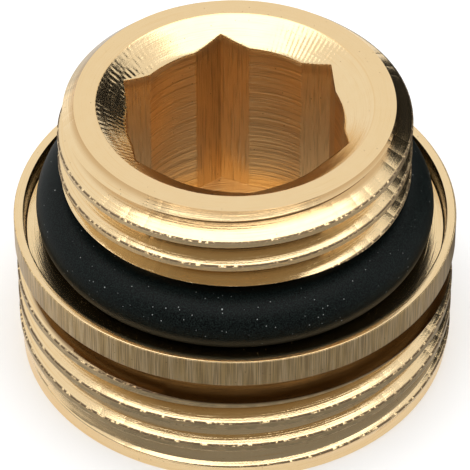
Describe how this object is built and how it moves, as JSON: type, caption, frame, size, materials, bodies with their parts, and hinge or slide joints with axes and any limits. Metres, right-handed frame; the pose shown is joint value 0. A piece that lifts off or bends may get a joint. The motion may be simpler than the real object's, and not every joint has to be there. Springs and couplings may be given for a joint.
{
  "type": "radiator connection adapter",
  "caption": "Turned brass double nipple that joins a radiator port to a union: male thread with hexagon key socket, collar with sealing ring, larger male thread.",
  "frame": {"origin": "centre of the flat bottom face, on the common axis of both threads", "axes": "+Z along the common axis, from the union end up to the radiator end; +X and +Y lie in the bottom face, and the nearest corner of the key hexagon is turned 6.9 degrees past +Y, anticlockwise seen from above"},
  "size_m": [0.0264, 0.0264, 0.018],
  "materials": {
    "brass": "bright turned, bare metal with tool marks",
    "rubber": "moulded black rubber, slightly dusty"
  },
  "bodies": {
    "root": {"nipple_body": "brass", "sealing_ring": "rubber"}
  },
  "joints": []
}
